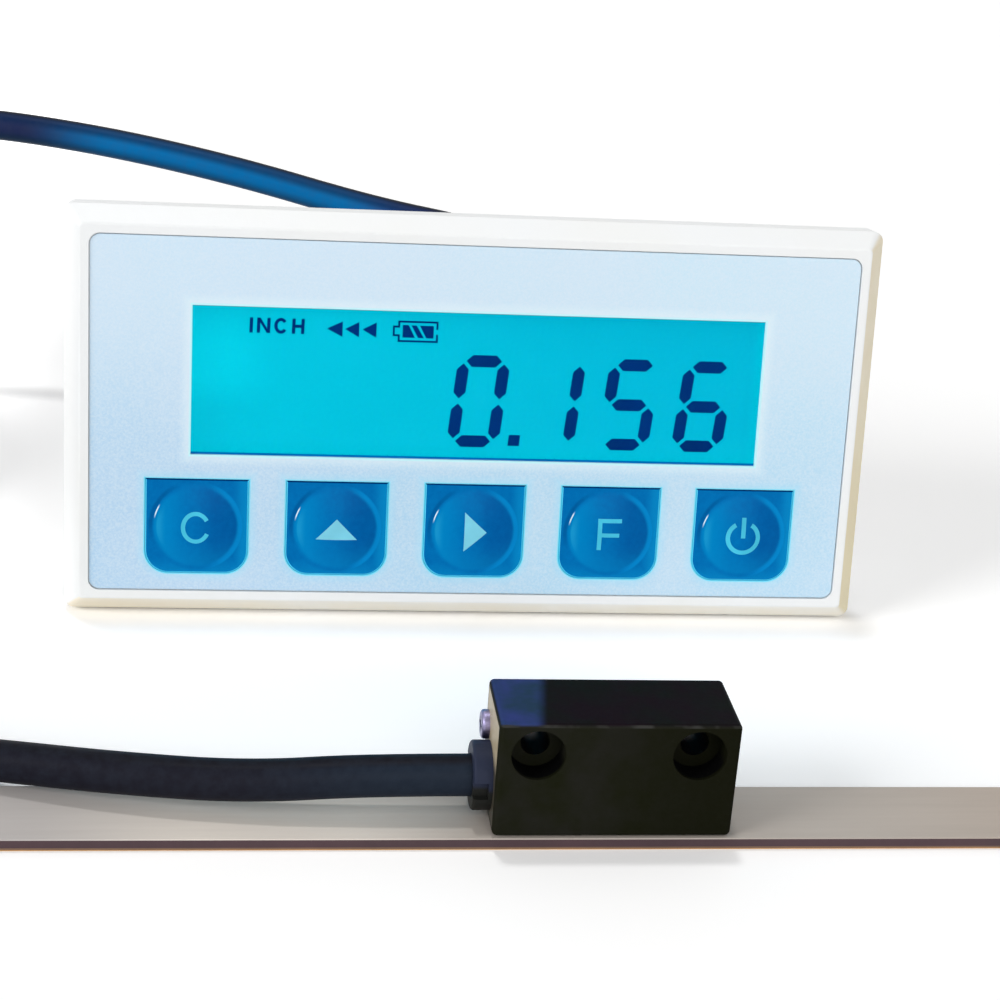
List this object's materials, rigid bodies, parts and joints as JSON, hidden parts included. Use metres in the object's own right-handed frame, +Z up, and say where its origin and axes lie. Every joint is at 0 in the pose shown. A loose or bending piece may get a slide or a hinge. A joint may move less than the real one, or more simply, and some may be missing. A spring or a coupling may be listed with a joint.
{
  "type": "magnetic linear encoder",
  "caption": "Panel display with keypad, cabled to a small magnetic read head that reads a flat magnetic scale.",
  "frame": {"origin": "middle of the footprint of display, read head and scale, on the surface they stand on", "axes": "+X along the scale, +Y from the read head back to the display, +Z up; the display faces -Y"},
  "size_m": [0.2249, 0.1396, 0.048],
  "materials": {
    "bezel_plastic": "satin moulded off-white",
    "case_plastic": "fine moulded texture",
    "printed_sheet": "fine-grained printed film",
    "clear_lens": "clear acrylic",
    "display_glass": "lit liquid crystal panel",
    "light_guide": "milky light guide",
    "board_green": "solder resist",
    "connector_plastic": "moulded nylon",
    "switch_plastic": "moulded",
    "key_blue": "embossed glossy blue",
    "screw_steel": "plated",
    "contact_steel": "nickel-plated",
    "cell_jacket": "plain printed jacket",
    "soft_rubber": "matt",
    "head_black": "black anodised",
    "end_plate_metal": "bare, warm tan",
    "gland_plastic": "moulded",
    "chip_black": "moulded",
    "adhesive": "foam tape",
    "carrier_steel": "rolled band",
    "magnetic_rubber": "dark brown magnetic rubber",
    "cover_steel": "fine rolled stainless band",
    "cable_jacket": "matt slate-black jacket",
    "tie_strap": "woven strap"
  },
  "bodies": {
    "instrument": {"front_bezel": "bezel_plastic", "face_sheet": "printed_sheet", "window_lens": "clear_lens", "lcd_front_glass": "display_glass", "lcd_rear_glass": "display_glass", "backlight": "light_guide", "main_board": "board_green", "board_screws": "screw_steel", "board_connector": "connector_plastic", "case_gasket": "soft_rubber", "rear_case": "case_plastic", "case_screws": "screw_steel", "upper_cell": "cell_jacket", "lower_cell": "cell_jacket", "battery_contacts": "contact_steel", "battery_door": "case_plastic", "door_screw": "screw_steel", "strain_relief": "soft_rubber", "head_housing": "head_black", "head_end_plate": "end_plate_metal", "head_end_screw": "screw_steel", "head_gland": "gland_plastic", "sensor_chip": "chip_black", "sensor_board": "board_green", "sensor_connector": "connector_plastic", "sensor_wires": "cable_jacket", "cable_coil": "cable_jacket", "display_cable": "cable_jacket", "head_cable": "cable_jacket", "coil_tie": "tie_strap", "switch_clear": "switch_plastic", "switch_up": "switch_plastic", "switch_right": "switch_plastic", "switch_function": "switch_plastic", "switch_power": "switch_plastic"},
    "scale": {"scale_adhesive": "adhesive", "scale_carrier": "carrier_steel", "scale_magnet": "magnetic_rubber", "scale_cover": "cover_steel"},
    "clear_key": {"key_clear": "key_blue", "plunger_clear": "switch_plastic"},
    "up_key": {"key_up": "key_blue", "plunger_up": "switch_plastic"},
    "right_key": {"key_right": "key_blue", "plunger_right": "switch_plastic"},
    "function_key": {"key_function": "key_blue", "plunger_function": "switch_plastic"},
    "power_key": {"key_power": "key_blue", "plunger_power": "switch_plastic"}
  },
  "joints": [
    {"name": "scale_slide", "type": "slide", "parent": "instrument", "child": "scale", "axis": [1, 0, 0], "range_m": [-0.075, 0.09]},
    {"name": "clear_press", "type": "slide", "parent": "instrument", "child": "clear_key", "axis": [0, 0.9903, -0.139], "range_m": [0, 0.0004], "stiffness_N_per_m": 1500, "springref_m": -0.0002},
    {"name": "up_press", "type": "slide", "parent": "instrument", "child": "up_key", "axis": [0, 0.9903, -0.139], "range_m": [0, 0.0004], "stiffness_N_per_m": 1500, "springref_m": -0.0002},
    {"name": "right_press", "type": "slide", "parent": "instrument", "child": "right_key", "axis": [0, 0.9903, -0.139], "range_m": [0, 0.0004], "stiffness_N_per_m": 1500, "springref_m": -0.0002},
    {"name": "function_press", "type": "slide", "parent": "instrument", "child": "function_key", "axis": [0, 0.9903, -0.139], "range_m": [0, 0.0004], "stiffness_N_per_m": 1500, "springref_m": -0.0002},
    {"name": "power_press", "type": "slide", "parent": "instrument", "child": "power_key", "axis": [0, 0.9903, -0.139], "range_m": [0, 0.0004], "stiffness_N_per_m": 1500, "springref_m": -0.0002}
  ]
}
